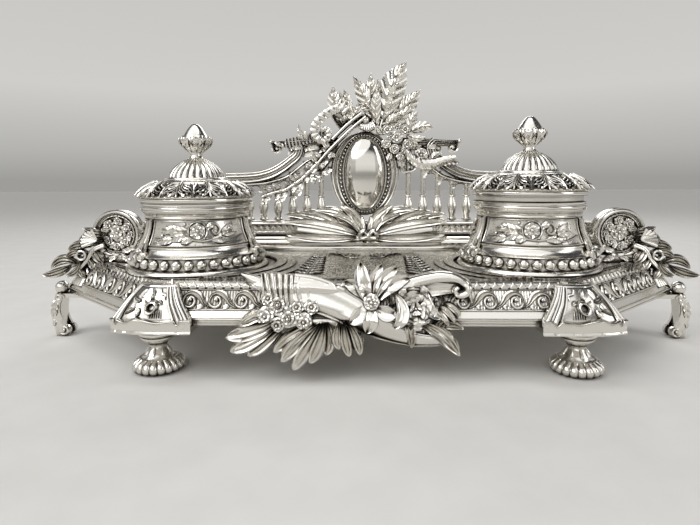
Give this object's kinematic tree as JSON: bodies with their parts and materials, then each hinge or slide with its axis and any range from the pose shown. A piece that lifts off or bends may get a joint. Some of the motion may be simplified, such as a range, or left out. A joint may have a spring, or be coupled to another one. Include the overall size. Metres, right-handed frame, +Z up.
{
  "type": "desk inkstand",
  "caption": "Footed six-cornered tray with lift-out bell inkwells, lift-off lids, a pierced gallery and cast floral mounts.",
  "frame": {"origin": "on the table under the middle of the tray", "axes": "+X to the right along the tray, +Y from the front mount to the gallery, +Z up"},
  "size_m": [0.309, 0.121, 0.139],
  "materials": {
    "silver_cast": "cast, silver plated, polished on the high parts and dark in the recesses",
    "silver_field": "silver plated sheet, engraved and stippled",
    "silver_polished": "silver plated, mirror polished",
    "silver_worn": "silver plated, rubbed by use",
    "liner_glass": "clear pressed glass",
    "brass_fasteners": "turned, unplated"
  },
  "bodies": {
    "stand": {"end_leg_screws": "brass_fasteners", "foot_nuts": "brass_fasteners", "foot_studs": "brass_fasteners", "front_left_skirt": "silver_cast", "front_right_skirt": "silver_cast", "front_skirt": "silver_cast", "gallery_bottom_rail": "silver_cast", "gallery_flowers": "silver_cast", "gallery_leaves": "silver_cast", "gallery_plinth": "silver_cast", "gallery_ribbon": "silver_cast", "gallery_screws": "brass_fasteners", "gallery_swag": "silver_cast", "left_balusters": "silver_cast", "left_drum_rosette": "silver_cast", "left_end_leg": "silver_cast", "left_end_wall": "silver_cast", "left_front_corner_block": "silver_cast", "left_front_foot": "silver_cast", "left_rear_corner_block": "silver_cast", "left_rear_foot": "silver_cast", "left_scroll_drum": "silver_cast", "left_seat_ring": "silver_field", "left_side_spray": "silver_cast", "left_top_rail": "silver_cast", "mount_flowers": "silver_cast", "mount_leaves": "silver_cast", "mount_screws": "brass_fasteners", "mount_scroll": "silver_cast", "oval_frame": "silver_cast", "oval_mirror": "silver_polished", "rear_left_skirt": "silver_cast", "rear_right_skirt": "silver_cast", "rear_skirt": "silver_cast", "right_balusters": "silver_cast", "right_drum_rosette": "silver_cast", "right_end_leg": "silver_cast", "right_end_wall": "silver_cast", "right_front_corner_block": "silver_cast", "right_front_foot": "silver_cast", "right_rear_corner_block": "silver_cast", "right_rear_foot": "silver_cast", "right_scroll_drum": "silver_cast", "right_seat_ring": "silver_field", "right_side_spray": "silver_cast", "right_top_rail": "silver_cast", "tray_plate": "silver_field"},
    "left_well": {"left_well_body": "silver_cast"},
    "left_liner": {"left_well_liner": "liner_glass"},
    "left_lid_group": {"left_lid": "silver_cast", "left_lid_sleeve": "silver_worn", "left_finial": "silver_cast", "left_finial_nut": "brass_fasteners"},
    "right_well": {"right_well_body": "silver_cast"},
    "right_liner": {"right_well_liner": "liner_glass"},
    "right_lid_group": {"right_lid": "silver_cast", "right_lid_sleeve": "silver_worn", "right_finial": "silver_cast", "right_finial_nut": "brass_fasteners"}
  },
  "joints": [
    {"name": "left_well_lift", "type": "slide", "parent": "stand", "child": "left_well", "axis": [0, 0, 1], "range_m": [0, 0.05]},
    {"name": "left_liner_lift", "type": "slide", "parent": "left_well", "child": "left_liner", "axis": [0, 0, 1], "range_m": [0, 0.035]},
    {"name": "left_lid_lift", "type": "slide", "parent": "left_liner", "child": "left_lid_group", "axis": [0, 0, 1], "range_m": [0, 0.03]},
    {"name": "right_well_lift", "type": "slide", "parent": "stand", "child": "right_well", "axis": [0, 0, 1], "range_m": [0, 0.05]},
    {"name": "right_liner_lift", "type": "slide", "parent": "right_well", "child": "right_liner", "axis": [0, 0, 1], "range_m": [0, 0.035]},
    {"name": "right_lid_lift", "type": "slide", "parent": "right_liner", "child": "right_lid_group", "axis": [0, 0, 1], "range_m": [-0.0024, 0.03]}
  ]
}
